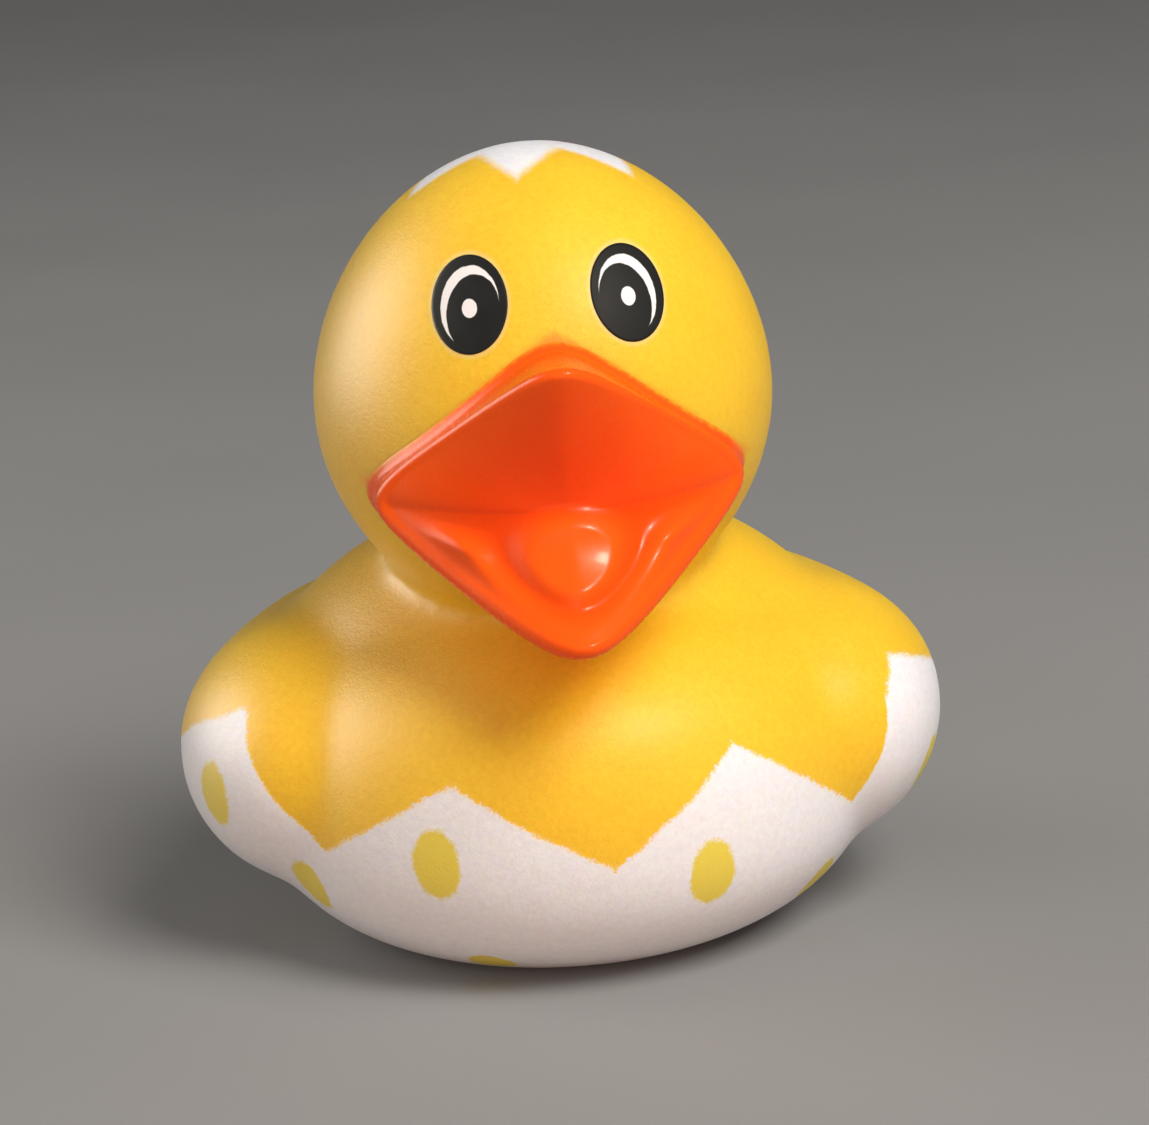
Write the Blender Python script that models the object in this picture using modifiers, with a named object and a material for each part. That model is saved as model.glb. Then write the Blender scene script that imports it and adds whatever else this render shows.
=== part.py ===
"""Rubber duck: a bath toy moulded in one piece from soft vinyl, hollow, with a flat base and a vent hole.

Metres, +Z up. The origin is on the base, under the middle of the duck, and the bill points to -Y.
"""

import math

import bmesh
import bpy
from mathutils import Vector

MM = 0.001

# Overall form
WALL = 2.0 * MM
VOXEL = 0.6 * MM
FILLET_PASSES = 30
SKIN_SHARE = 0.1
CAVITY_SHARE = 0.05

# Head: an egg with its wide part below the middle
HEAD_CENTRE = Vector((0.0, -2.5 * MM, 35.8 * MM))
HEAD_SIDE = 14.7 * MM
HEAD_DEPTH = 14.4 * MM
HEAD_UP = 16.2 * MM
HEAD_DOWN = 15.0 * MM
HEAD_POWER = 1.9

# Tub: the boat-shaped lower body
TUB_CENTRE = Vector((0.0, 0.5 * MM, 10.5 * MM))
TUB_SIDE = 20.5 * MM
TUB_FRONT = 19.5 * MM
TUB_BACK = 22.0 * MM
TUB_UP = 13.5 * MM
TUB_DOWN = 12.0 * MM
TUB_POWER = 2.4
STERN_NARROW = 0.22
STERN_RISE = 0.3

# Mantle: the sloping shoulders that carry the head
MANTLE_CENTRE = Vector((0.0, 3.5 * MM, 16.0 * MM))
MANTLE_SIDE = 19.5 * MM
MANTLE_FRONT = 16.0 * MM
MANTLE_BACK = 15.0 * MM
MANTLE_UP = 12.3 * MM
MANTLE_DOWN = 8.0 * MM
MANTLE_POWER = 1.8

# Wings: a swelling on each flank, drawn out to a raised tip behind
WING_CENTRE = Vector((15.9 * MM, 1.0 * MM, 13.0 * MM))
WING_SIDE = 9.3 * MM
WING_FRONT = 12.0 * MM
WING_BACK = 18.5 * MM
WING_UP = 8.6 * MM
WING_DOWN = 9.2 * MM
WING_TIP_RISE = 5.0 * MM
WING_TIP_IN = 3.5 * MM
WING_SLIM = 0.25

# Tail: a short cone that turns up
TAIL_ROOT = Vector((0.0, 8.4 * MM, 14.0 * MM))
TAIL_SIDE = 13.0 * MM
TAIL_BACK = 17.0 * MM
TAIL_UP = 8.5 * MM
TAIL_DOWN = 9.0 * MM
TAIL_TIP_RISE = 9.5 * MM
TAIL_SLIM = 0.42

# Bill: an open mouth with a rounded rhombic rim, and how far forward its rim and its fold stand
BILL_SEGMENTS = 56
BILL_MIDDLE = 32.1 * MM
BILL_SIDE = 11.4 * MM
BILL_TOP = 9.2 * MM
BILL_BOTTOM = 8.0 * MM
UPPER_POWER = 1.1
LOWER_POWER = 1.2
CORNER_ROUNDING = 0.13
FOLD_ROUNDING = 0.3
RIM_CORNER = 13.4 * MM
RIM_TOP = 21.4 * MM
RIM_BOTTOM = 24.4 * MM
FOLD_CORNER = 12.6 * MM
FOLD_MIDDLE = 18.8 * MM
MOUTH_CURVE = 1.7
UPPER_LIP = 0.5 * MM
LOWER_LIP = 1.0 * MM
ROOT_SINK = 3.5 * MM
ROOT_FLARE = 0.5 * MM
SIDE_RINGS = 3
LIP_RINGS = 3
MOUTH_RINGS = 11

# Tongue pad, the groove round it, and the full lower lip beside it
TONGUE_UP = -2.5 * MM
TONGUE_SIDE = 3.7 * MM
TONGUE_HEIGHT = 2.6 * MM
TONGUE_RISE = 0.85 * MM
TONGUE_TAPER = 0.22
LIP_SWELL = 1.3 * MM
LIP_SLANT = 0.15
LIP_FOOT = 1.5 * MM

# Vent in the base
VENT_RADIUS = 1.5 * MM
VENT_SEGMENTS = 24

# Half the size of the blocks that trim the base flat, well past the duck on every side
TRIM_REACH = 60.0 * MM


def clear_scene():
    for obj in list(bpy.data.objects):
        bpy.data.objects.remove(obj, do_unlink=True)


def new_collection(name):
    collection = bpy.data.collections.new(name)
    bpy.context.scene.collection.children.link(collection)
    return collection


def linear(channel):
    """Linear value of one sRGB channel from 0 to 1."""
    return channel / 12.92 if channel <= 0.04045 else ((channel + 0.055) / 1.055) ** 2.4


def vinyl_material():
    """Soft yellow vinyl, moulded with a satin skin."""
    material = bpy.data.materials.new("yellow_vinyl")
    material.use_nodes = True
    shader = material.node_tree.nodes["Principled BSDF"]
    shader.inputs["Base Color"].default_value = (linear(0.96), linear(0.76), linear(0.2), 1.0)
    shader.inputs["Roughness"].default_value = 0.45
    shader.inputs["Metallic"].default_value = 0.0
    return material


def sphere(name):
    bpy.ops.mesh.primitive_uv_sphere_add(segments=64, ring_count=32, radius=1.0)
    obj = bpy.context.object
    obj.name = name
    return obj


def swell(direction, side, front, back, up, down, power=2.0):
    """Point of a rounded form along a unit direction, with its own reach each way."""
    level = math.hypot(direction.x, direction.y)
    stretch = (level**power + abs(direction.z) ** power) ** (-1.0 / power)
    return Vector(
        (
            direction.x * side * stretch,
            direction.y * (back if direction.y > 0.0 else front) * stretch,
            direction.z * (up if direction.z > 0.0 else down) * stretch,
        )
    )


def add_head(inset):
    head = sphere("head_form")
    for vertex in head.data.vertices:
        vertex.co = HEAD_CENTRE + swell(
            vertex.co.normalized(),
            HEAD_SIDE - inset,
            HEAD_DEPTH - inset,
            HEAD_DEPTH - inset,
            HEAD_UP - inset,
            HEAD_DOWN - inset,
            HEAD_POWER,
        )
    return head


def add_tub(inset):
    tub = sphere("tub_form")
    for vertex in tub.data.vertices:
        point = swell(
            vertex.co.normalized(),
            TUB_SIDE - inset,
            TUB_FRONT - inset,
            TUB_BACK - inset,
            TUB_UP - inset,
            TUB_DOWN - inset,
            TUB_POWER,
        )
        backward = max(0.0, point.y / TUB_BACK)
        point.x *= 1.0 - STERN_NARROW * backward**2
        if point.z < 0.0:
            point.z *= 1.0 - STERN_RISE * backward**2
        vertex.co = TUB_CENTRE + point
    return tub


def add_mantle(inset):
    mantle = sphere("mantle_form")
    for vertex in mantle.data.vertices:
        vertex.co = MANTLE_CENTRE + swell(
            vertex.co.normalized(),
            MANTLE_SIDE - inset,
            MANTLE_FRONT - inset,
            MANTLE_BACK - inset,
            MANTLE_UP - inset,
            MANTLE_DOWN - inset,
            MANTLE_POWER,
        )
    return mantle


def add_wing(inset, hand):
    wing = sphere("wing_form")
    for vertex in wing.data.vertices:
        point = swell(
            vertex.co.normalized(),
            WING_SIDE - inset,
            WING_FRONT - inset,
            WING_BACK - inset,
            WING_UP - inset,
            WING_DOWN - inset,
        )
        backward = max(0.0, point.y / WING_BACK)
        slim = 1.0 - WING_SLIM * backward
        point.x = point.x * slim - WING_TIP_IN * backward**2
        point.z = point.z * slim + WING_TIP_RISE * backward**2
        point += WING_CENTRE
        point.x *= hand
        vertex.co = point
    return wing


def add_tail(inset):
    tail = sphere("tail_form")
    for vertex in tail.data.vertices:
        point = swell(
            vertex.co.normalized(),
            TAIL_SIDE - inset,
            TAIL_BACK - inset,
            TAIL_BACK - inset,
            TAIL_UP - inset,
            TAIL_DOWN - inset,
        )
        backward = max(0.0, point.y / TAIL_BACK)
        slim = 1.0 - TAIL_SLIM * backward
        point.x *= slim
        point.z = point.z * slim + TAIL_TIP_RISE * backward**2.2
        vertex.co = TAIL_ROOT + point
    return tail


def add_forms(inset):
    """Every rounded form of the duck, each drawn in by the same inset."""
    wings = [add_wing(inset, 1), add_wing(inset, -1)]
    return [add_head(inset), add_tub(inset), add_mantle(inset), *wings, add_tail(inset)]


def blended(name, forms):
    """One smooth skin round all the forms, with soft fillets where they meet."""
    mesh = bmesh.new()
    for form in forms:
        mesh.from_mesh(form.data)
        bpy.data.objects.remove(form, do_unlink=True)
    data = bpy.data.meshes.new(name)
    mesh.to_mesh(data)
    mesh.free()
    obj = bpy.data.objects.new(name, data)
    remesh = obj.modifiers.new("One skin", "REMESH")
    remesh.mode = "VOXEL"
    remesh.voxel_size = VOXEL
    fillet = obj.modifiers.new("Fillets", "SMOOTH")
    fillet.factor = 0.5
    fillet.iterations = FILLET_PASSES
    return obj


def thin_out(obj, share):
    decimate = obj.modifiers.new("Fewer faces", "DECIMATE")
    decimate.ratio = share


def trim_block(name, top):
    """Block that trims away everything under a level."""
    bpy.ops.mesh.primitive_cube_add(size=2.0 * TRIM_REACH, location=(0.0, 0.0, top - TRIM_REACH))
    obj = bpy.context.object
    obj.name = name
    return obj


def cut(obj, tool, operation="DIFFERENCE"):
    boolean = obj.modifiers.new(tool.name, "BOOLEAN")
    boolean.operation = operation
    boolean.solver = "EXACT"
    boolean.object = tool


def move_to(obj, collection):
    for owner in list(obj.users_collection):
        owner.objects.unlink(obj)
    collection.objects.link(obj)


def as_cutter(obj, collection):
    move_to(obj, collection)
    obj.hide_render = True
    obj.display_type = "WIRE"
    return obj


def face_front(across, height):
    """How far forward the face stands at a place across and up."""
    rise = height - HEAD_CENTRE.z
    tall = HEAD_UP if rise > 0.0 else HEAD_DOWN
    level = max(0.0, 1.0 - abs(rise / tall) ** HEAD_POWER) ** (1.0 / HEAD_POWER)
    return -HEAD_CENTRE.y + HEAD_DEPTH * math.sqrt(max(0.0, level**2 - (across / HEAD_SIDE) ** 2))


def blend(low, high, share):
    return low + (high - low) * share


def ease(low, high, value):
    """Smooth step from 0 at low to 1 at high."""
    share = min(1.0, max(0.0, (value - low) / (high - low)))
    return share * share * (3.0 - 2.0 * share)


def soft(value, rounding):
    """Size of a number, rounded off near nought so that a shape has no crease there."""
    full = math.hypot(1.0, rounding) - rounding
    return (math.hypot(value, rounding) - rounding) / full


def rim_outline(turn):
    """Place on the rim across and up from the mouth's middle, and how far round it is from the corner."""
    across = math.cos(turn)
    along = math.sin(turn)
    power = UPPER_POWER if along > 0.0 else LOWER_POWER
    level = soft(across, CORNER_ROUNDING) ** power + soft(along, CORNER_ROUNDING) ** power
    stretch = level ** (-1.0 / power)
    height = BILL_TOP if along > 0.0 else BILL_BOTTOM
    return across * stretch * BILL_SIDE, along * stretch * height, abs(along * stretch)


def rim_reach(turn):
    """How far forward the rim stands: back at the corners, forward above, furthest below."""
    furthest = RIM_TOP if math.sin(turn) > 0.0 else RIM_BOTTOM
    return blend(RIM_CORNER, furthest, soft(rim_outline(turn)[2], FOLD_ROUNDING))


def lip_radius(turn):
    """Radius of the lip's edge: thin above, full below, easing from one to the other at the corners."""
    return blend(LOWER_LIP, UPPER_LIP, ease(-0.3, 0.3, math.sin(turn)))


def beside_rim(turn, offset, front):
    """Point beside the rim, moved outwards in the mouth's plane, at its own reach forward."""
    across, up, _ = rim_outline(turn)
    before = rim_outline(turn - 0.01)
    after = rim_outline(turn + 0.01)
    run = math.hypot(after[0] - before[0], after[1] - before[1])
    outward = ((after[1] - before[1]) / run, (before[0] - after[0]) / run)
    return Vector((across + outward[0] * offset, -front, BILL_MIDDLE + up + outward[1] * offset))


def side_point(turn, share):
    """Point of the bill's outer side, from inside the head (0) to the foot of the lip (1)."""
    across, up, _ = rim_outline(turn)
    root = face_front(across, BILL_MIDDLE + up) - ROOT_SINK
    tip = rim_reach(turn) - lip_radius(turn)
    return beside_rim(turn, ROOT_FLARE * (1.0 - share) ** 2, blend(root, tip, share))


def lip_point(turn, share):
    """Point of the lip's rounded edge, from the outer side (0) to its crest (1)."""
    lip = lip_radius(turn)
    lean = 0.5 * math.pi * share
    return beside_rim(turn, lip * (math.cos(lean) - 1.0), rim_reach(turn) + lip * (math.sin(lean) - 1.0))


def fold_reach(across):
    """How far forward the fold between the jaws stands."""
    return blend(FOLD_MIDDLE, FOLD_CORNER, min(1.0, (across / BILL_SIDE) ** 2))


def relief(across, up):
    """Tongue pad, the groove round it and the full lower lip, standing out of the mouth's lower face."""
    rise = (up - TONGUE_UP) / TONGUE_HEIGHT
    broad = TONGUE_SIDE * (1.0 + TONGUE_TAPER * max(-1.0, min(1.0, rise)))
    around = math.hypot(across / broad, rise)
    pad = TONGUE_RISE * ease(1.15, 0.6, around)
    foot = LIP_SLANT * max(0.0, BILL_SIDE - abs(across))
    lip = LIP_SWELL * ease(0.0, LIP_FOOT, -up - foot) * ease(1.1, 1.75, around)
    return pad + lip


def mouth_point(turn, share):
    """Point of the mouth's inner face, from its middle (0) to the crest of the lip (1)."""
    crest = lip_point(turn, 1.0)
    across = crest.x * share
    up = (crest.z - BILL_MIDDLE) * share
    front = fold_reach(across) + (rim_reach(turn) - fold_reach(crest.x)) * share**MOUTH_CURVE
    front += relief(across, up) * (1.0 - ease(0.7, 1.0, share))
    return Vector((across, -front, BILL_MIDDLE + up))


def make_bill():
    """Loft of rings: root inside the head, out along the side, over the lip and down into the mouth."""
    turns = [math.tau * step / BILL_SEGMENTS for step in range(BILL_SEGMENTS)]
    rings = [[side_point(turn, part / SIDE_RINGS) for turn in turns] for part in range(SIDE_RINGS)]
    rings += [[lip_point(turn, part / LIP_RINGS) for turn in turns] for part in range(LIP_RINGS)]
    rings += [[mouth_point(turn, 1.0 - part / MOUTH_RINGS) for turn in turns] for part in range(MOUTH_RINGS)]
    back = Vector((0.0, ROOT_SINK - face_front(0.0, BILL_MIDDLE), BILL_MIDDLE))
    middle = Vector((0.0, -FOLD_MIDDLE - relief(0.0, 0.0), BILL_MIDDLE))
    mesh = bmesh.new()
    loops = [[mesh.verts.new(point) for point in ring] for ring in rings]
    for outer, inner in zip(loops, loops[1:]):
        for step in range(BILL_SEGMENTS):
            after = (step + 1) % BILL_SEGMENTS
            mesh.faces.new((outer[step], outer[after], inner[after], inner[step]))
    for loop, centre in ((loops[0], back), (loops[-1], middle)):
        hub = mesh.verts.new(centre)
        for step in range(BILL_SEGMENTS):
            mesh.faces.new((loop[step], loop[(step + 1) % BILL_SEGMENTS], hub))
    bmesh.ops.recalc_face_normals(mesh, faces=mesh.faces)
    data = bpy.data.meshes.new("bill_form")
    mesh.to_mesh(data)
    mesh.free()
    return bpy.data.objects.new("bill_form", data)


def make_cavity():
    cavity = blended("cavity", add_forms(WALL))
    thin_out(cavity, CAVITY_SHARE)
    return cavity


def make_vent():
    bpy.ops.mesh.primitive_cylinder_add(vertices=VENT_SEGMENTS, radius=VENT_RADIUS, depth=4.0 * WALL)
    vent = bpy.context.object
    vent.name = "vent"
    return vent


def make_duck():
    parts = new_collection("rubber_duck")
    cutters = new_collection("cutters")
    body = blended("duck_body", add_forms(0.0))
    thin_out(body, SKIN_SHARE)
    parts.objects.link(body)

    cut(body, as_cutter(trim_block("under_base", 0.0), cutters))

    bill = make_bill()
    cutters.objects.link(bill)
    as_cutter(bill, cutters)
    cut(body, bill, "UNION")

    cavity = make_cavity()
    cutters.objects.link(cavity)
    cut(cavity, as_cutter(trim_block("under_floor", WALL), cutters))
    as_cutter(cavity, cutters)
    cut(body, cavity)
    cut(body, as_cutter(make_vent(), cutters))

    body.data.materials.append(vinyl_material())
    return body


clear_scene()
make_duck()
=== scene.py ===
import math

import bmesh
import bpy
from mathutils import Matrix, Vector


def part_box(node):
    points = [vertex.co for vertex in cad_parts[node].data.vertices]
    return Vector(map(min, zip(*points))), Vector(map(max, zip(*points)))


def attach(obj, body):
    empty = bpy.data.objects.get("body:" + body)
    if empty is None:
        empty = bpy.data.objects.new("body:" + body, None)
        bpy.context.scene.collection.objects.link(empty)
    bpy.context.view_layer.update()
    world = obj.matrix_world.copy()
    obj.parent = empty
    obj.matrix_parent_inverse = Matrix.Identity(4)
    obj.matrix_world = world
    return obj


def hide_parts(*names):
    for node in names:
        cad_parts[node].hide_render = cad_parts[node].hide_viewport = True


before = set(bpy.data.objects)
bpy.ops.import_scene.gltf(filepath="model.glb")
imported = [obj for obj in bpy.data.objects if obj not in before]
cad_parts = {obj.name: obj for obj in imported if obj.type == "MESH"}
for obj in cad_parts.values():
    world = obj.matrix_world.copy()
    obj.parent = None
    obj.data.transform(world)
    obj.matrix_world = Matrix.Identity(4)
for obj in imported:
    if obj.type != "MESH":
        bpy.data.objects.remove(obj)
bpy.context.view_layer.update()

# One drawing millimetre in the frame: the duck is drawn 51.86 mm tall.
DRAWN_HEIGHT = 51.86
BASE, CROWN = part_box("duck_body")
MM = (CROWN[2] - BASE[2]) / DRAWN_HEIGHT

# Moulding: fine grid for the skin, smoothed until the joins are soft fillets
SKIN_VOXEL = 0.42 * MM
FILLET_PASSES = 60

# Head: an egg with its wide part below the middle
HEAD = Vector((0.0, -2.5, 35.8)) * MM
HEAD_SIDE = 14.7 * MM
HEAD_DEPTH = 14.4 * MM
HEAD_UP = 16.2 * MM
HEAD_DOWN = 15.0 * MM
HEAD_POWER = 1.9

# Bill: rounded rhombus of the open mouth, and how far forward its rim and its valley stand
BILL_MIDDLE = 32.1 * MM
BILL_SIDE = 11.4 * MM
BILL_TOP = 9.2 * MM
BILL_BOTTOM = 8.0 * MM
UPPER_POWER = 1.1
LOWER_POWER = 1.2
BILL_ROUNDING = 0.13
FOLD_ROUNDING = 0.3
RIM_CORNER = 13.4 * MM
RIM_TOP = 21.4 * MM
RIM_BOTTOM = 24.4 * MM
VALLEY_CORNER = 12.6 * MM
VALLEY_MIDDLE = 18.8 * MM
MOUTH_CURVE = 1.7
UPPER_LIP = 0.5 * MM
LOWER_LIP = 1.0 * MM
UPPER_FILLET = 0.8 * MM
LOWER_FILLET = 0.4 * MM
BILL_SEGMENTS = 224
MOUTH_RINGS = 72
LIP_RINGS = 8
SIDE_RINGS = 8
FILLET_RINGS = 8

# Tongue pad, the groove round it, and the full lower lip beside it
TONGUE_UP = -2.5 * MM
TONGUE_SIDE = 3.7 * MM
TONGUE_HEIGHT = 2.6 * MM
TONGUE_RISE = 0.85 * MM
TONGUE_TAPER = 0.22
LIP_SWELL = 1.3 * MM
LIP_SLANT = 0.15

# Vent in the base
VENT_RADIUS = 1.5 * MM
VENT_DEPTH = 3.0 * MM
VENT_SEGMENTS = 40

# Eyes: printed ovals
EYE_SIDE = 4.78 * MM
EYE_HEIGHT = 44.0 * MM
EYE_HALF_WIDTH = 2.2 * MM
EYE_HALF_HEIGHT = 2.8 * MM
EYE_TILT = math.radians(18.0)
INK = 0.04 * MM


def swell(direction, side, front, back, up, down, power=2.0):
    """Point of a rounded form along a unit direction, with its own reach each way."""
    level = math.hypot(direction.x, direction.y)
    stretch = (level**power + abs(direction.z) ** power) ** (-1.0 / power)
    along = back if direction.y > 0.0 else front
    rise = up if direction.z > 0.0 else down
    return Vector((direction.x * side, direction.y * along, direction.z * rise)) * stretch


def tub(point):
    """Boat-shaped lower body: narrower and lifted towards the stern."""
    place = swell(point, 20.5 * MM, 19.5 * MM, 22.0 * MM, 13.5 * MM, 12.0 * MM, 2.4)
    backward = max(0.0, place.y / (22.0 * MM))
    place.x *= 1.0 - 0.22 * backward**2
    if place.z < 0.0:
        place.z *= 1.0 - 0.3 * backward**2
    return place + Vector((0.0, 0.5, 10.5)) * MM


def mantle(point):
    """Sloping shoulders that carry the head."""
    place = swell(point, 19.5 * MM, 16.0 * MM, 15.0 * MM, 12.3 * MM, 8.0 * MM, 1.8)
    return place + Vector((0.0, 3.5, 16.0)) * MM


def head(point):
    return HEAD + swell(point, HEAD_SIDE, HEAD_DEPTH, HEAD_DEPTH, HEAD_UP, HEAD_DOWN, HEAD_POWER)


def wing(point, hand):
    """Swelling on one flank, drawn out to a raised tip behind."""
    place = swell(point, 9.3 * MM, 12.0 * MM, 18.5 * MM, 8.6 * MM, 9.2 * MM)
    backward = max(0.0, place.y / (18.5 * MM))
    slim = 1.0 - 0.25 * backward
    place.x = place.x * slim - 3.5 * MM * backward**2
    place.z = place.z * slim + 5.0 * MM * backward**2
    place += Vector((15.9, 1.0, 13.0)) * MM
    place.x *= hand
    return place


def tail(point):
    """Broad short tail that turns up."""
    place = swell(point, 13.0 * MM, 17.0 * MM, 17.0 * MM, 8.5 * MM, 9.0 * MM)
    backward = max(0.0, place.y / (17.0 * MM))
    slim = 1.0 - 0.42 * backward
    place.x *= slim
    place.z = place.z * slim + 9.5 * MM * backward**2.2
    return place + Vector((0.0, 8.4, 14.0)) * MM


def add_object(name, mesh):
    obj = bpy.data.objects.new(name, mesh)
    bpy.context.scene.collection.objects.link(obj)
    return obj


def finished(obj):
    """The object's evaluated shape as a plain mesh, with no modifiers left."""
    depsgraph = bpy.context.evaluated_depsgraph_get()
    mesh = bpy.data.meshes.new_from_object(obj.evaluated_get(depsgraph))
    mesh.name = obj.name
    obj.modifiers.clear()
    obj.data = mesh
    return obj


def moulded_skin():
    """Head, body, wings and tail as one skin with soft fillets, cut flat under the base."""
    shape = bmesh.new()
    forms = [head, tub, mantle, tail, lambda p: wing(p, 1.0), lambda p: wing(p, -1.0)]
    for form in forms:
        ball = bmesh.ops.create_uvsphere(shape, u_segments=96, v_segments=48, radius=1.0)
        for vertex in ball["verts"]:
            vertex.co = form(vertex.co.normalized())
        faces = {face for vertex in ball["verts"] for face in vertex.link_faces}
        bmesh.ops.recalc_face_normals(shape, faces=list(faces))
    mesh = bpy.data.meshes.new("duck_skin")
    shape.to_mesh(mesh)
    shape.free()
    skin = add_object("duck_skin", mesh)
    remesh = skin.modifiers.new("One skin", "REMESH")
    remesh.mode = "VOXEL"
    remesh.voxel_size = SKIN_VOXEL
    fillet = skin.modifiers.new("Fillets", "SMOOTH")
    fillet.factor = 0.5
    fillet.iterations = FILLET_PASSES
    finished(skin)
    flatten_base(skin)
    skin.data.shade_smooth()
    skin.data.set_sharp_from_angle(angle=math.radians(50.0))
    return skin


def flatten_base(skin):
    """Cuts the skin at the base plane and closes it with a flat floor that has a vent well."""
    shape = bmesh.new()
    shape.from_mesh(skin.data)
    everything = shape.verts[:] + shape.edges[:] + shape.faces[:]
    bmesh.ops.bisect_plane(shape, geom=everything, plane_co=(0, 0, 0), plane_no=(0, 0, -1), clear_outer=True)
    rim = [edge for edge in shape.edges if edge.is_boundary]
    for edge in rim:
        for vertex in edge.verts:
            vertex.co.z = 0.0
    well = set(bmesh.ops.create_circle(shape, segments=VENT_SEGMENTS, radius=VENT_RADIUS)["verts"])
    mouth = [edge for edge in shape.edges if well.issuperset(edge.verts)]
    bmesh.ops.triangle_fill(shape, edges=rim + mouth, use_beauty=True)
    wall = bmesh.ops.extrude_edge_only(shape, edges=mouth)["geom"]
    top = [item for item in wall if isinstance(item, bmesh.types.BMVert)]
    for vertex in top:
        vertex.co.z += VENT_DEPTH
    ceiling = [edge for edge in shape.edges if edge.is_boundary]
    bmesh.ops.contextual_create(shape, geom=ceiling)
    bmesh.ops.recalc_face_normals(shape, faces=shape.faces[:])
    shape.to_mesh(skin.data)
    shape.free()


def face_front(across, height):
    """How far forward the face stands at a place across and up, as a positive reach."""
    rise = height - HEAD.z
    tall = HEAD_UP if rise > 0.0 else HEAD_DOWN
    level = max(0.0, 1.0 - abs(rise / tall) ** HEAD_POWER) ** (1.0 / HEAD_POWER)
    return -HEAD.y + HEAD_DEPTH * math.sqrt(max(0.0, level**2 - (across / HEAD_SIDE) ** 2))


def blend(low, high, share):
    return low + (high - low) * share


def smooth(low, high, value):
    """Smooth step from 0 at low to 1 at high."""
    share = min(1.0, max(0.0, (value - low) / (high - low)))
    return share * share * (3.0 - 2.0 * share)


def soft(value, rounding):
    """Size of a number, rounded off near nought so that a shape has no crease there."""
    full = math.hypot(1.0, rounding) - rounding
    return (math.hypot(value, rounding) - rounding) / full


class Rim:
    """The bill's rim at one turn round the mouth: 0 is the duck's left corner, a quarter turn the top."""

    def __init__(self, turn):
        self.x, self.z, self.opening = self.outline(turn)
        before = self.outline(turn - 0.01)
        after = self.outline(turn + 0.01)
        self.outward = Vector((after[1] - before[1], before[0] - after[0])).normalized()
        above = math.sin(turn) > 0.0
        self.front = blend(RIM_CORNER, RIM_TOP if above else RIM_BOTTOM, soft(self.opening, FOLD_ROUNDING))
        upper = smooth(-0.3, 0.3, math.sin(turn))
        self.lip = blend(LOWER_LIP, UPPER_LIP, upper)
        self.fillet = blend(LOWER_FILLET, UPPER_FILLET, upper)

    @staticmethod
    def outline(turn):
        """Place across and up from the mouth's middle, and how far round it is from the corner."""
        across = math.cos(turn)
        along = math.sin(turn)
        power = UPPER_POWER if along > 0.0 else LOWER_POWER
        level = soft(across, BILL_ROUNDING) ** power + soft(along, BILL_ROUNDING) ** power
        stretch = level ** (-1.0 / power)
        height = BILL_TOP if along > 0.0 else BILL_BOTTOM
        return across * stretch * BILL_SIDE, along * stretch * height, abs(along * stretch)

    def at(self, offset, front):
        """Point beside the rim, moved outwards in the mouth's plane, at its own reach forward."""
        return Vector(
            (
                self.x + self.outward.x * offset,
                -front,
                BILL_MIDDLE + self.z + self.outward.y * offset,
            )
        )


def valley(across):
    """How far forward the fold between the jaws stands."""
    return blend(VALLEY_MIDDLE, VALLEY_CORNER, min(1.0, (across / BILL_SIDE) ** 2))


def relief(across, up):
    """Tongue pad, the groove round it and the full lower lip, standing out of the mouth's lower face."""
    rise = (up - TONGUE_UP) / TONGUE_HEIGHT
    broad = TONGUE_SIDE * (1.0 + TONGUE_TAPER * max(-1.0, min(1.0, rise)))
    around = math.hypot(across / broad, rise)
    pad = TONGUE_RISE * smooth(1.15, 0.6, around)
    fold = LIP_SLANT * max(0.0, BILL_SIDE - abs(across))
    lip = LIP_SWELL * smooth(0.0, 1.5 * MM, -up - fold) * smooth(1.1, 1.75, around)
    return pad + lip


def bill_rings():
    """Rings of the bill from its buried root, over the fillet, side and lip, to the mouth's middle."""
    rims = [Rim(math.tau * step / BILL_SEGMENTS) for step in range(BILL_SEGMENTS)]
    root = [rim.at(-2.0 * MM, face_front(rim.x, BILL_MIDDLE + rim.z) - 3.0 * MM) for rim in rims]
    rings = [[(point, 0.0) for point in root]]
    for part in range(FILLET_RINGS + 1):
        lean = 0.5 * math.pi * part / FILLET_RINGS
        ring = []
        for rim in rims:
            offset = rim.fillet * (1.0 - math.sin(lean))
            foot = rim.at(offset, 0.0)
            face = face_front(foot.x, foot.z) - 0.15 * MM
            proud = rim.fillet * (1.0 - math.cos(lean))
            ring.append((rim.at(offset, face + proud), part / FILLET_RINGS))
        rings.append(ring)
    for part in range(1, SIDE_RINGS):
        ring = []
        for rim in rims:
            start = face_front(rim.x, BILL_MIDDLE + rim.z) - 0.15 * MM + rim.fillet
            end = rim.front - rim.lip
            ring.append((rim.at(0.0, blend(start, end, part / SIDE_RINGS)), 1.0))
        rings.append(ring)
    for part in range(LIP_RINGS + 1):
        lean = 0.5 * math.pi * part / LIP_RINGS
        ring = []
        for rim in rims:
            offset = -rim.lip * (1.0 - math.cos(lean))
            front = rim.front - rim.lip * (1.0 - math.sin(lean))
            ring.append((rim.at(offset, front), 1.0))
        rings.append(ring)
    crest = [(rim.at(-rim.lip, rim.front), rim) for rim in rims]
    for part in range(1, MOUTH_RINGS):
        share = 1.0 - part / MOUTH_RINGS
        # Each mouth point carries its share of painted shade for the fold and the grooves.
        rings.append([(mouth_point(edge, rim, share), 1.0, painted_fold_shade_share(edge, share)) for edge, rim in crest])
    return rings


def painted_fold_shade_share(edge, share):
    """Painted shade: 1 in the fold and the grooves, where shade falls and the orange is painted deeper, and
    0 on the lips and the tongue.
    """
    stands = relief(edge.x * share, (edge.z - BILL_MIDDLE) * share) / TONGUE_RISE
    return max(0.0, 1.0 - stands) * (1.0 - share**2.5)


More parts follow.
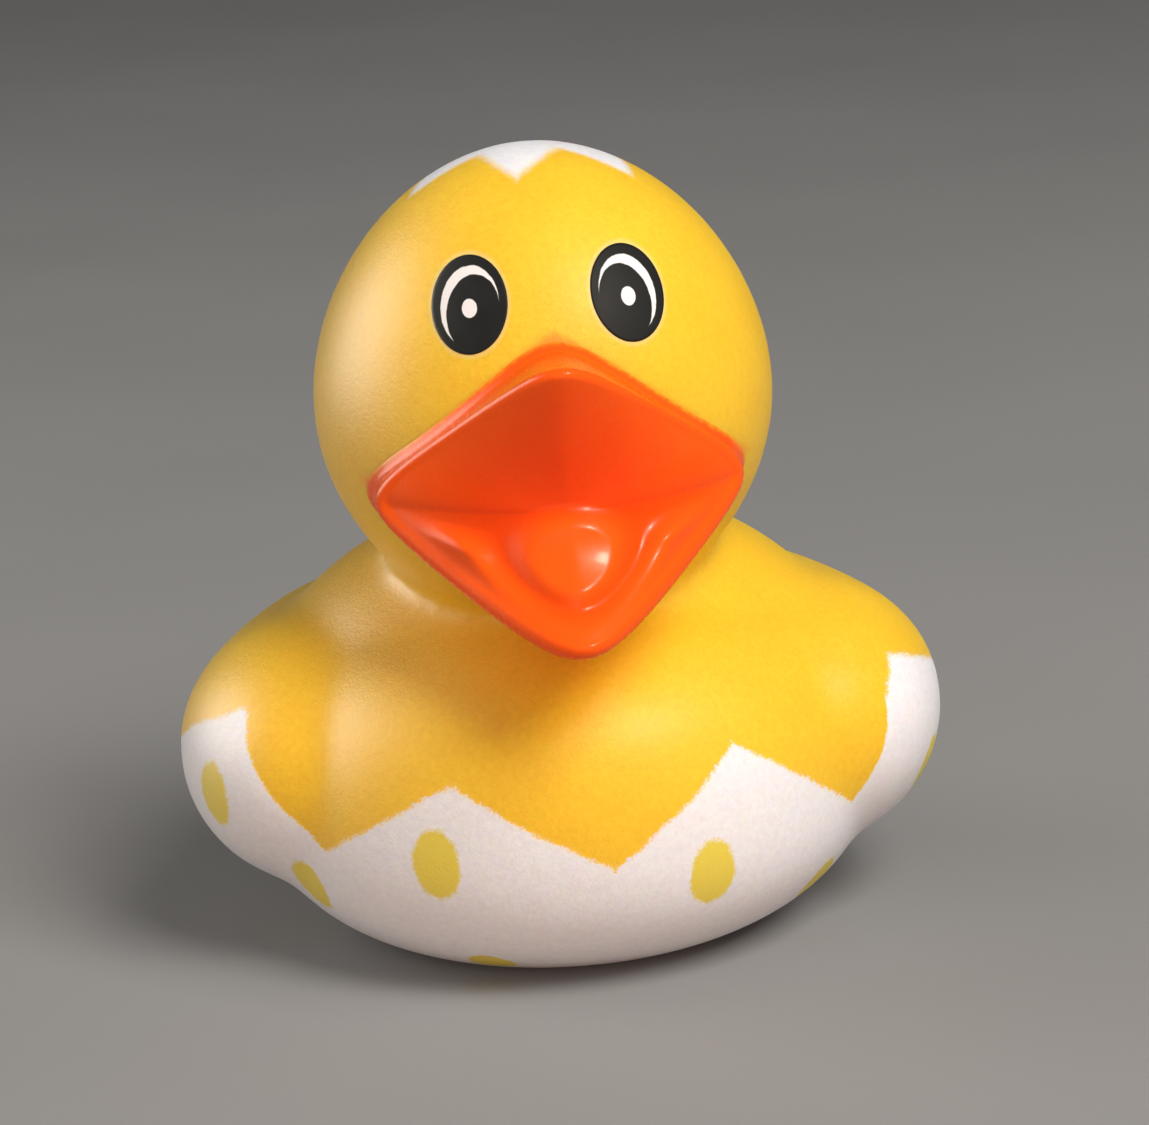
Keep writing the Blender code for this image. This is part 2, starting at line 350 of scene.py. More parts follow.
def mouth_point(edge, rim, share):
    """Point of the mouth's inner face, from its middle (0) to the crest of the lip (1)."""
    across = edge.x * share
    up = (edge.z - BILL_MIDDLE) * share
    front = valley(across) + (rim.front - valley(edge.x)) * share**MOUTH_CURVE
    front += relief(across, up) * (1.0 - smooth(0.7, 1.0, share))
    return Vector((across, -front, BILL_MIDDLE + up))


def moulded_bill():
    shape = bmesh.new()
    # Painted shade: a vertex value that darkens the orange in the fold and the grooves, where shade falls.
    painted = shape.verts.layers.float.new("painted")
    pooled = shape.verts.layers.float.new("pooled")
    loops = []
    for ring in bill_rings():
        loop = []
        for point, share, *fold_shading in ring:
            vertex = shape.verts.new(point)
            vertex[painted] = share
            vertex[pooled] = fold_shading[0] if fold_shading else 0.0
            loop.append(vertex)
        loops.append(loop)
    for outer, inner in zip(loops, loops[1:]):
        for step in range(BILL_SEGMENTS):
            after = (step + 1) % BILL_SEGMENTS
            shape.faces.new((outer[step], outer[after], inner[after], inner[step]))
    hub = shape.verts.new((0.0, -VALLEY_MIDDLE - relief(0.0, 0.0), BILL_MIDDLE))
    hub[painted] = 1.0
    hub[pooled] = 1.0
    for step in range(BILL_SEGMENTS):
        shape.faces.new((loops[-1][step], loops[-1][(step + 1) % BILL_SEGMENTS], hub))
    shape.faces.new(list(reversed(loops[0])))
    bmesh.ops.recalc_face_normals(shape, faces=shape.faces[:])
    mesh = bpy.data.meshes.new("bill")
    shape.to_mesh(mesh)
    shape.free()
    bill = add_object("bill", mesh)
    ease = bill.modifiers.new("Ease", "SMOOTH")
    ease.factor = 0.5
    ease.iterations = 3
    finished(bill)
    bill.data.shade_smooth()
    return bill


# ---- Materials ----


def colour(code):
    """Linear RGBA of an sRGB hex colour."""
    channels = [int(code[start : start + 2], 16) / 255.0 for start in (1, 3, 5)]
    return (*(c / 12.92 if c <= 0.04045 else ((c + 0.055) / 1.055) ** 2.4 for c in channels), 1.0)


def new_material(name):
    material = bpy.data.materials.new(name)
    material.use_nodes = True
    material.node_tree.nodes.clear()
    return material


# Nodes by short names, and the settings that they are given
MATHS = "ShaderNodeMath"
VECTOR = "ShaderNodeVectorMath"
AXES = "ShaderNodeSeparateXYZ"
RANGE = "ShaderNodeMapRange"
MIX = "ShaderNodeMix"
NOISE = "ShaderNodeTexNoise"
ADD = {"operation": "ADD"}
ADD_CLAMPED = {"operation": "ADD", "use_clamp": True}
SUBTRACT = {"operation": "SUBTRACT"}
MULTIPLY = {"operation": "MULTIPLY"}
MULTIPLY_ADD = {"operation": "MULTIPLY_ADD"}
DIVIDE = {"operation": "DIVIDE"}
POWER = {"operation": "POWER"}
SQRT = {"operation": "SQRT"}
ABSOLUTE = {"operation": "ABSOLUTE"}
MINIMUM = {"operation": "MINIMUM"}
MAXIMUM = {"operation": "MAXIMUM"}
LESS_THAN = {"operation": "LESS_THAN"}
GREATER_THAN = {"operation": "GREATER_THAN"}
PINGPONG = {"operation": "PINGPONG"}
SINE = {"operation": "SINE"}
COSINE = {"operation": "COSINE"}
ARCCOSINE = {"operation": "ARCCOSINE"}
ARCTAN2 = {"operation": "ARCTAN2"}
LENGTH = {"operation": "LENGTH"}
DISTANCE = {"operation": "DISTANCE"}
SCALE = {"operation": "SCALE"}
EASED = {"interpolation_type": "SMOOTHSTEP"}
OF_COLOURS = {"data_type": "RGBA"}
OF_NUMBERS = {"data_type": "FLOAT"}


def node(tree, kind, settings=None, *values, **links):
    """Adds a node. Values fill its inputs in order and links name them; a node given as one of
    them is joined by its first output, a socket is joined, and anything else is the input's value."""
    made = tree.nodes.new(kind)
    for key, value in (settings or {}).items():
        setattr(made, key, value)
    pairs = list(zip([socket for socket in made.inputs if socket.enabled], values))
    pairs += [(made.inputs[key.replace("_", " ")], value) for key, value in links.items()]
    for socket, value in pairs:
        if isinstance(value, bpy.types.Node):
            value = next(output for output in value.outputs if output.enabled)
        if isinstance(value, bpy.types.NodeSocket):
            tree.links.new(value, socket)
        else:
            socket.default_value = value
    return made


def millimetres(tree):
    """Object coordinates counted in drawing millimetres."""
    place = node(tree, "ShaderNodeTexCoord").outputs["Object"]
    return node(tree, VECTOR, SCALE, place, 1.0 / MM)


def turn_round(tree, across, along):
    """Angle round the upright axis in degrees: 0 in front, positive on the duck's left."""
    forward = node(tree, MATHS, MULTIPLY, along, -1.0)
    angle = node(tree, MATHS, ARCTAN2, across, forward)
    return node(tree, MATHS, MULTIPLY, angle, 180.0 / math.pi)


# Height in millimetres of the broken shell's edge at each angle round the duck, in degrees.
SHELL_EDGE = [
    (-180.0, 15.0), (-152.0, 9.5), (-127.0, 15.5), (-102.0, 11.5), (-82.4, 16.0), (-71.3, 18.0),
    (-60.2, 11.5), (-55.2, 9.3), (-26.3, 14.8), (4.4, 9.1), (31.1, 15.65), (60.8, 9.1), (66.1, 15.5),
    (72.5, 17.9), (86.6, 15.8), (104.0, 11.5), (127.0, 15.5), (152.0, 9.5), (180.0, 15.0),
]
EDGE_REACH = 20.0

# Painted spots on the shell: angle in degrees, height and half width in millimetres.
SPOTS = [
    (-29.5, 9.75, 1.6), (23.9, 7.8, 1.6), (-74.3, 12.2, 1.5), (80.0, 9.4, 1.5), (-26.0, 1.6, 1.5),
    (-63.3, 6.3, 1.5), (59.4, 3.75, 1.6), (112.0, 8.5, 1.6), (-108.0, 7.0, 1.6), (138.0, 7.0, 1.5),
    (-140.0, 7.5, 1.6), (180.0, 9.0, 1.6), (92.0, 3.8, 1.35), (-92.0, 3.6, 1.5), (125.0, 3.2, 1.5),
    (-124.0, 3.0, 1.5), (160.0, 3.8, 1.5), (-161.0, 4.4, 1.5),
]
SPOT_TALLER = 1.5

# Shell cap on the crown: tilted back, with pointed teeth round its edge, all in degrees.
CAP_TILT = math.radians(15.0)
CAP_TEETH = 7
CAP_TURN = 7.0
CAP_ANGLE = 21.0
CAP_TOOTH = 13.5


def shell_edge(tree, place):
    """How far a place is above the broken shell's edge, in millimetres."""
    parts = node(tree, AXES, None, place).outputs
    angle = turn_round(tree, parts[0], parts[1])
    share = node(tree, MATHS, ADD, node(tree, MATHS, DIVIDE, angle, 360.0), 0.5)
    curve = node(tree, "ShaderNodeFloatCurve", None, Value=share)
    points = curve.mapping.curves[0].points
    for index, (turn, height) in enumerate(SHELL_EDGE):
        at = (turn / 360.0 + 0.5, height / EDGE_REACH)
        if index == 0:
            points[0].location = at
        elif index == len(SHELL_EDGE) - 1:
            points[len(points) - 1].location = at
        else:
            points.new(*at)
    for point in points:
        point.handle_type = "VECTOR"
    curve.mapping.update()
    edge = node(tree, MATHS, MULTIPLY, curve, EDGE_REACH)
    return node(tree, MATHS, SUBTRACT, parts[2], edge)


def cap_edge(tree, place):
    """How far a place is outside the edge of the shell cap, in millimetres along the head."""
    centre = tuple(HEAD / MM)
    shifted = node(tree, VECTOR, SUBTRACT, place, centre)
    turned = node(
        tree, "ShaderNodeVectorRotate", {"rotation_type": "X_AXIS"}, Vector=shifted, Angle=CAP_TILT
    )
    parts = node(tree, AXES, None, turned).outputs
    reach = node(tree, VECTOR, LENGTH, turned)
    polar = node(tree, MATHS, ARCCOSINE, node(tree, MATHS, DIVIDE, parts[2], reach))
    angle = turn_round(tree, parts[0], parts[1])
    step = 360.0 / CAP_TEETH
    tooth = node(tree, MATHS, PINGPONG, node(tree, MATHS, ADD, angle, CAP_TURN), step / 2.0)
    tooth = node(tree, MATHS, SUBTRACT, 1.0, node(tree, MATHS, DIVIDE, tooth, step / 2.0))
    tooth = node(tree, MATHS, POWER, tooth, 1.35)
    edge = node(tree, MATHS, MULTIPLY_ADD, tooth, CAP_TOOTH, CAP_ANGLE)
    outside = node(tree, MATHS, SUBTRACT, node(tree, MATHS, MULTIPLY, polar, 180.0 / math.pi), edge)
    return node(tree, MATHS, MULTIPLY, outside, math.radians(HEAD_UP / MM))


def spot_distance(tree, place, centres):
    """Distance to the nearest spot's middle, 1 at its edge."""
    nearest = None
    for centre, half in centres:
        size = (1.0 / half, 1.0 / half, 1.0 / (half * SPOT_TALLER))
        here = node(tree, VECTOR, MULTIPLY, place, size)
        there = tuple(part * share for part, share in zip(centre, size))
        gap = node(tree, VECTOR, DISTANCE, here, there)
        nearest = gap if nearest is None else node(tree, MATHS, MINIMUM, nearest, gap)
    return nearest


def bill_distance(tree, place):
    """How far a place on the face is outside the bill's outline, in millimetres; far off elsewhere."""
    parts = node(tree, AXES, None, place).outputs
    rise = node(tree, MATHS, SUBTRACT, parts[2], BILL_MIDDLE / MM)
    across = node(
        tree, MATHS, POWER,
        node(tree, MATHS, DIVIDE, node(tree, MATHS, ABSOLUTE, parts[0]), BILL_SIDE / MM),
        UPPER_POWER,
    )
    up = node(
        tree, MATHS, POWER,
        node(tree, MATHS, DIVIDE, node(tree, MATHS, ABSOLUTE, rise), BILL_TOP / MM),
        UPPER_POWER,
    )
    level = node(tree, MATHS, POWER, node(tree, MATHS, ADD, across, up), 1.0 / UPPER_POWER)
    outside = node(tree, MATHS, MULTIPLY, node(tree, MATHS, SUBTRACT, level, 1.0), BILL_TOP / MM)
    behind = node(tree, MATHS, MULTIPLY, node(tree, MATHS, GREATER_THAN, parts[1], -8.0), 50.0)
    below = node(tree, RANGE, EASED, rise, 1.0, -1.5)
    return node(
        tree, MATHS, ADD, node(tree, MATHS, ADD, outside, behind), node(tree, MATHS, MULTIPLY, below, 4.0)
    )


# Sizes of the finishes' unevenness in millimetres. Spray grit is about 0.1 mm: it is drawn at
# 0.16 mm so that it shows.
GRIT = 0.16
SPECKLE = 0.42
MASK_WAVER = 2.6
SKIN_DRIFT = 7.0
ENAMEL_DRIFT = 5.0
ENAMEL_RIPPLE = 1.6
PAD_RAGGED = 0.5
INK_WEAR = 1.2
PAPER_CLOUD = 60.0


def painted_vinyl(centres):
    """Rotocast soft PVC, sprayed through masks: a satin, slightly waxy yellow that glows a little
    where light gets into it, and matt grainy white with soft speckled edges."""
    material = new_material("Rotocast soft vinyl with masked spray paint")
    tree = material.node_tree
    place = millimetres(tree)
    grit = node(tree, MATHS, SUBTRACT, node(tree, NOISE, None, place, 1.0 / GRIT, 1.0, 0.5), 0.5)
    speckle = node(tree, MATHS, SUBTRACT, node(tree, NOISE, None, place, 1.0 / SPECKLE, 3.0, 0.6), 0.5)
    waver = node(tree, MATHS, SUBTRACT, node(tree, NOISE, None, place, 1.0 / MASK_WAVER, 2.0, 0.5), 0.5)
    ragged = node(
        tree, MATHS, ADD, node(tree, MATHS, MULTIPLY, speckle, 0.9), node(tree, MATHS, MULTIPLY, waver, 0.6)
    )
    ragged = node(tree, MATHS, ADD, ragged, node(tree, MATHS, MULTIPLY, grit, 0.6))
    shell = node(tree, MATHS, ADD, shell_edge(tree, place), ragged)
    cap = node(tree, MATHS, ADD, cap_edge(tree, place), ragged)
    white = node(
        tree, MATHS, MAXIMUM,
        node(tree, RANGE, EASED, shell, 0.24, -0.24),
        node(tree, RANGE, EASED, cap, 0.8, -0.7),
    )
    spots = node(
        tree, MATHS, ADD, spot_distance(tree, place, centres), node(tree, MATHS, MULTIPLY, ragged, 0.3)
    )
    spots = node(tree, RANGE, EASED, spots, 1.1, 0.88)
    mottle = node(tree, MATHS, SUBTRACT, node(tree, NOISE, None, place, 1.0 / SKIN_DRIFT, 2.0, 0.5), 0.5)
    mottle = node(tree, MATHS, ADD, mottle, node(tree, MATHS, MULTIPLY, speckle, 1.5))
    yellow = node(
        tree, MIX, OF_COLOURS,
        node(tree, MATHS, ADD_CLAMPED, mottle, 0.5),
        colour(VINYL_DEEP),
        colour(VINYL_YELLOW),
    )
    chalk = node(
        tree, MIX, OF_COLOURS,
        node(tree, MATHS, ADD_CLAMPED, node(tree, MATHS, MULTIPLY, speckle, 1.2), 0.5),
        colour(SHELL_SHADE),
        colour(SHELL_WHITE),
    )
    skin = node(tree, MIX, OF_COLOURS, white, yellow, chalk)
    skin = node(tree, MIX, OF_COLOURS, node(tree, MATHS, MULTIPLY, spots, 0.93), skin, colour(SPOT_YELLOW))
    drift = node(tree, MATHS, ADD, bill_distance(tree, place), node(tree, MATHS, MULTIPLY, speckle, 0.35))
    halo = oval(tree, *eye_place(tree, place), (0.0, 0.0), (1.0, 1.0))
    front = node(tree, MATHS, LESS_THAN, node(tree, AXES, None, place).outputs[1], -5.0)
    halo = node(
        tree, MATHS, MULTIPLY,
        node(tree, RANGE, EASED, halo, 1.13, 1.03),
        node(tree, MATHS, MULTIPLY, front, 0.4),
    )
    skin = node(tree, MIX, OF_COLOURS, halo, skin, colour(EYE_HALO))
    overspray = node(tree, RANGE, EASED, drift, 1.5, 0.7)
    skin = node(
        tree, MIX, OF_COLOURS, node(tree, MATHS, MULTIPLY, overspray, 0.5), skin, colour(BILL_ORANGE)
    )
    rough = node(tree, MIX, OF_NUMBERS, white, 0.48, 0.56)
    rough = node(tree, MATHS, ADD, rough, node(tree, MATHS, MULTIPLY, speckle, 0.12))
    height = node(
        tree, MATHS, ADD, node(tree, MATHS, MULTIPLY, grit, 0.5), node(tree, MATHS, MULTIPLY, speckle, 0.6)
    )
    height = node(tree, MATHS, ADD, height, node(tree, MATHS, MULTIPLY, white, 0.6))
    bump = node(tree, "ShaderNodeBump", None, Strength=0.65, Distance=0.06 * MM, Height=height)
    shader = node(
        tree, "ShaderNodeBsdfPrincipled", None,
        Base_Color=skin, Roughness=rough, IOR=1.5, Normal=bump,
        Subsurface_Weight=0.45, Subsurface_Scale=2.6 * MM, Subsurface_Radius=(1.0, 0.5, 0.12),
        Coat_Weight=0.3, Coat_Roughness=0.4,
    )
    node(tree, "ShaderNodeOutputMaterial", None, Surface=shader)
    return material


def bill_enamel():
    """Solvent vinyl enamel brushed and sprayed thick over the bill: hot orange, wet-looking gloss
    with sharp highlights, and a soft sprayed start where it meets the face."""
    material = new_material("Sprayed orange vinyl enamel")
    tree = material.node_tree
    place = millimetres(tree)
    parts = node(tree, AXES, None, place).outputs
    speckle = node(tree, MATHS, SUBTRACT, node(tree, NOISE, None, place, 1.0 / SPECKLE, 3.0, 0.6), 0.5)
    cloud = node(tree, MATHS, SUBTRACT, node(tree, NOISE, None, place, 1.0 / ENAMEL_DRIFT, 2.0, 0.5), 0.5)
    start = node(tree, "ShaderNodeAttribute", {"attribute_name": "painted"}).outputs["Fac"]
    above = node(tree, RANGE, EASED, parts[2], BILL_MIDDLE / MM - 2.0, BILL_MIDDLE / MM + 2.0)
    thin = node(tree, RANGE, EASED, node(tree, MATHS, MULTIPLY_ADD, speckle, 0.4, start), 0.5, -0.1)
    bare = node(tree, MATHS, MULTIPLY, thin, above)
    # Painted shade: the orange turns deeper red in the fold and the grooves, in place of the shade there.
    shade_in_folds = node(tree, "ShaderNodeAttribute", {"attribute_name": "pooled"}).outputs["Fac"]
    shade_in_folds = node(tree, MATHS, ADD_CLAMPED, shade_in_folds, node(tree, MATHS, MULTIPLY, cloud, 0.5))
    orange = node(tree, MIX, OF_COLOURS, shade_in_folds, colour(BILL_ORANGE), colour(BILL_PAINTED_SHADE))
    paint = node(tree, MIX, OF_COLOURS, bare, orange, colour(VINYL_YELLOW))
    ripple = node(tree, MATHS, SUBTRACT, node(tree, NOISE, None, place, 1.0 / ENAMEL_RIPPLE, 2.0, 0.5), 0.5)
    bump = node(tree, "ShaderNodeBump", None, Strength=0.25, Distance=0.06 * MM, Height=ripple)
    rough = node(tree, MATHS, MULTIPLY_ADD, speckle, 0.08, 0.27)
    shader = node(
        tree, "ShaderNodeBsdfPrincipled", None,
        Base_Color=paint, Roughness=rough, IOR=1.5, Normal=bump,
        Specular_IOR_Level=0.22, Coat_Weight=0.1, Coat_Roughness=0.1,
    )
    node(tree, "ShaderNodeOutputMaterial", None, Surface=shader)
    return material


def eye_place(tree, place):
    """Place on either eye, outwards and up from its middle, in half widths and half heights."""
    parts = node(tree, AXES, None, place).outputs
    outward = node(tree, MATHS, SUBTRACT, node(tree, MATHS, ABSOLUTE, parts[0]), EYE_SIDE / MM)
    up = node(tree, MATHS, SUBTRACT, parts[2], EYE_HEIGHT / MM)
    cosine = math.cos(EYE_TILT)
    sine = math.sin(EYE_TILT)
    side = node(
        tree, MATHS, ADD,
        node(tree, MATHS, MULTIPLY, outward, cosine),
        node(tree, MATHS, MULTIPLY, up, sine),
    )
    rise = node(
        tree, MATHS, SUBTRACT,
        node(tree, MATHS, MULTIPLY, up, cosine),
        node(tree, MATHS, MULTIPLY, outward, sine),
    )
    side = node(tree, MATHS, DIVIDE, side, EYE_HALF_WIDTH / MM)
    rise = node(tree, MATHS, DIVIDE, rise, EYE_HALF_HEIGHT / MM)
    return side, rise


def oval(tree, side, rise, centre, reach):
    """Distance from an oval's middle, 1 at its edge, in eye units."""
    u = node(tree, MATHS, DIVIDE, node(tree, MATHS, SUBTRACT, side, centre[0]), reach[0])
    v = node(tree, MATHS, DIVIDE, node(tree, MATHS, SUBTRACT, rise, centre[1]), reach[1])
    return node(
        tree, MATHS, SQRT,
        node(tree, MATHS, ADD, node(tree, MATHS, MULTIPLY, u, u), node(tree, MATHS, MULTIPLY, v, v)),
    )


def eye_ink():
    """Pad-printed ink: dense satin black with a clean white arc and dot, edges a touch ragged
    from the silicone pad."""
    material = new_material("Pad-printed black and white ink")
    tree = material.node_tree
    place = millimetres(tree)
    side, rise = eye_place(tree, place)
    ragged = node(
        tree, MATHS, MULTIPLY,
        node(tree, MATHS, SUBTRACT, node(tree, NOISE, None, place, 1.0 / PAD_RAGGED, 2.0, 0.5), 0.5),
        0.05,
    )
    outer = node(tree, MATHS, ADD, oval(tree, side, rise, (0.0, -0.015), (0.767, 0.815)), ragged)
    inner = node(tree, MATHS, ADD, oval(tree, side, rise, (-0.12, -0.12), (0.7, 0.78)), ragged)
    arc = node(
        tree, MATHS, MULTIPLY,
        node(tree, RANGE, EASED, outer, 1.015, 0.985),
        node(tree, RANGE, EASED, inner, 0.985, 1.015),
    )
    dot = node(
        tree, MATHS, ADD,
        oval(tree, side, rise, (0.0, -0.05), (0.2, 0.19)),
        node(tree, MATHS, MULTIPLY, ragged, 2.0),
    )
    light = node(tree, MATHS, MAXIMUM, arc, node(tree, RANGE, EASED, dot, 1.05, 0.95))
    worn = node(
        tree, MATHS, ADD_CLAMPED,
        node(tree, MATHS, SUBTRACT, node(tree, NOISE, None, place, 1.0 / INK_WEAR, 3.0, 0.5), 0.5),
        0.5,
    )
    black = node(tree, MIX, OF_COLOURS, worn, colour(INK_BLACK), colour(INK_GREY))
    ink = node(tree, MIX, OF_COLOURS, light, black, colour(INK_WHITE))
    rough = node(tree, MATHS, MULTIPLY_ADD, worn, 0.15, 0.45)
    bump = node(tree, "ShaderNodeBump", None, Strength=0.2, Distance=0.03 * MM, Height=worn)
    shader = node(
        tree, "ShaderNodeBsdfPrincipled", None,
        Base_Color=ink, Roughness=rough, IOR=1.5, Specular_IOR_Level=0.35, Normal=bump,
    )
    node(tree, "ShaderNodeOutputMaterial", None, Surface=shader)
    return material


def studio_paper():
    """Uncoated paper roll: matt mid grey, very slightly cloudy."""
    material = new_material("Matt studio paper")
    tree = material.node_tree
    place = millimetres(tree)
    cloud = node(
        tree, MATHS, ADD_CLAMPED,
        node(tree, MATHS, SUBTRACT, node(tree, NOISE, None, place, 1.0 / PAPER_CLOUD, 2.0, 0.5), 0.5),
        0.5,
    )
    paper = node(tree, MIX, OF_COLOURS, cloud, colour(PAPER_SHADE), colour(PAPER_PALE))
    shader = node(tree, "ShaderNodeBsdfPrincipled", None, Base_Color=paper, Roughness=0.8)
    node(tree, "ShaderNodeOutputMaterial", None, Surface=shader)
    return material


# ---- Eye prints ----


def eye_print_tree(material):
    """Geometry Nodes: a closed oval disc of ink, laid on the skin along the view from the front."""
    tree = bpy.data.node_groups.new("Eye print", "GeometryNodeTree")
    sockets = tree.interface
    for name, kind in (
        ("Skin", "NodeSocketObject"),
        ("Side", "NodeSocketFloat"),
        ("Height", "NodeSocketFloat"),
        ("Half width", "NodeSocketFloat"),
        ("Half height", "NodeSocketFloat"),
        ("Tilt", "NodeSocketFloat"),
        ("Ink", "NodeSocketFloat"),
        ("Bedding", "NodeSocketFloat"),
    ):
        sockets.new_socket(name, in_out="INPUT", socket_type=kind)
    sockets.new_socket("Geometry", in_out="OUTPUT", socket_type="NodeSocketGeometry")
    given = tree.nodes.new("NodeGroupInput").outputs
    disc = node(
        tree, "GeometryNodeMeshCylinder", {"fill_type": "TRIANGLE_FAN"},
        Vertices=96, Side_Segments=1, Fill_Segments=20, Radius=1.0, Depth=2.0,
    )
    parts = node(tree, AXES, None, node(tree, "GeometryNodeInputPosition")).outputs
    width = node(tree, MATHS, MULTIPLY, parts[0], given["Half width"])
    tall = node(tree, MATHS, MULTIPLY, parts[1], given["Half height"])
    cosine = node(tree, MATHS, COSINE, given["Tilt"])
    sine = node(tree, MATHS, SINE, given["Tilt"])
    across = node(
        tree, MATHS, SUBTRACT,
        node(tree, MATHS, MULTIPLY, width, cosine),
        node(tree, MATHS, MULTIPLY, tall, sine),
    )
    up = node(
        tree, MATHS, ADD,
        node(tree, MATHS, MULTIPLY, width, sine),
        node(tree, MATHS, MULTIPLY, tall, cosine),
    )
    across = node(tree, MATHS, ADD, across, given["Side"])
    up = node(tree, MATHS, ADD, up, given["Height"])
    start = node(tree, "ShaderNodeCombineXYZ", None, X=across, Y=-60.0 * MM, Z=up).outputs[0]
    skin = node(tree, "GeometryNodeObjectInfo", None, Object=given["Skin"]).outputs["Geometry"]
    ray = node(
        tree, "GeometryNodeRaycast", None,
        Target_Geometry=skin, Source_Position=start, Ray_Direction=(0.0, 1.0, 0.0), Ray_Length=100.0 * MM,
    )
    outside = node(tree, MATHS, GREATER_THAN, parts[2], 0.0)
    lift = node(
        tree, MIX, OF_NUMBERS, outside, node(tree, MATHS, MULTIPLY, given["Bedding"], -1.0), given["Ink"]
    )
    away = node(tree, VECTOR, SCALE, ray.outputs["Hit Normal"], lift)
    spot = node(tree, VECTOR, ADD, ray.outputs["Hit Position"], away)
    laid = node(tree, "GeometryNodeSetPosition", None, Geometry=disc, Position=spot)
    smooth_shaded = node(tree, "GeometryNodeSetShadeSmooth", None, Geometry=laid)
    whole = node(tree, "GeometryNodeRealizeInstances", None, Geometry=smooth_shaded)
    inked = node(tree, "GeometryNodeSetMaterial", None, Geometry=whole, Material=material)
    node(tree, "NodeGroupOutput", None, Geometry=inked)
    return tree


def print_eye(name, tree, skin, hand):
    eye = add_object(name, bpy.data.meshes.new(name))
    maker = eye.modifiers.new("Eye print", "NODES")
    maker.node_group = tree
    values = {
        "Skin": skin,
        "Side": hand * EYE_SIDE,
        "Height": EYE_HEIGHT,
        "Half width": EYE_HALF_WIDTH,
        "Half height": EYE_HALF_HEIGHT,
        "Tilt": hand * EYE_TILT,
        "Ink": INK,
        "Bedding": 0.3 * MM,
    }
    for item in tree.interface.items_tree:
        if item.in_out == "INPUT":
            maker[item.identifier] = values[item.name]
    finished(eye)
    return eye


def spot_places(skin):
    """Where each spot's middle lies on the skin, in millimetres, with its half width."""
    found = []
    for turn, height, half in SPOTS:
        angle = math.radians(turn)
        inward = Vector((-math.sin(angle), math.cos(angle), 0.0))
        start = Vector((0.0, 0.0, height * MM)) - inward * 0.08
        _, place, _, _ = skin.ray_cast(start, inward)
        found.append((tuple(place / MM), half))
    return found


# ---- Colours ----

VINYL_YELLOW = "#f8cb32"
VINYL_DEEP = "#ecba20"
SPOT_YELLOW = "#e9d22e"
EYE_HALO = "#f6e2a4"
SHELL_WHITE = "#f4f4f9"
SHELL_SHADE = "#e4e1e3"
BILL_ORANGE = "#fb5a0c"
# Painted shade: the deeper red of the bill's fold and grooves.
BILL_PAINTED_SHADE = "#ea4000"
INK_BLACK = "#131312"
INK_GREY = "#1c1e1e"
INK_WHITE = "#e8e6e5"
PAPER_PALE = "#959392"
PAPER_SHADE = "#898887"


# ---- The duck ----

skin = moulded_skin()
bill = moulded_bill()
ink = eye_ink()
eye_tree = eye_print_tree(ink)
eyes = [print_eye("eye_left", eye_tree, skin, 1.0), print_eye("eye_right", eye_tree, skin, -1.0)]
skin.data.materials.append(painted_vinyl(spot_places(skin)))
bill.data.materials.append(bill_enamel())

finishes = [(skin, "vinyl_skin"), (bill, "bill_paint")]
finishes += [(eye, "eye_print") for eye in eyes]
for piece, slot in finishes:
    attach(piece, "root")
    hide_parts("duck_body")


# ---- Floor, light and camera ----


def studio_floor():
    """Paper sweep: flat under the duck, then curving up behind it."""
    near, far, wide, bend = -0.6, 0.9, 1.4, 0.35
    profile = [(near, 0.0), (far - bend, 0.0)]
    for part in range(1, 13):
        lean = 0.5 * math.pi * part / 12
        profile.append((far - bend + bend * math.sin(lean), bend - bend * math.cos(lean)))
    profile.append((far, 1.5))
    shape = bmesh.new()
    rows = []
    for along, up in profile:
        rows.append([shape.verts.new((side * wide, along, up)) for side in (-1.0, 1.0)])
    for low, high in zip(rows, rows[1:]):
        shape.faces.new((low[0], low[1], high[1], high[0]))
    mesh = bpy.data.meshes.new("studio_sweep")
    shape.to_mesh(mesh)
    shape.free()
    floor = add_object("studio_sweep", mesh)
    floor.data.shade_smooth()
    floor.data.materials.append(studio_paper())


def area_light(name, place, width, height, watts, code):
    data = bpy.data.lights.new(name, "AREA")
    data.shape = "RECTANGLE"
    data.size = width
    data.size_y = height
    data.energy = watts
    data.color = colour(code)[:3]
    lamp = bpy.data.objects.new(name, data)
    bpy.context.scene.collection.objects.link(lamp)
    lamp.location = place
    toward = Vector((0.0, 0.0, 0.025)) - Vector(place)
    lamp.rotation_euler = toward.to_track_quat("-Z", "Y").to_euler()
    return lamp


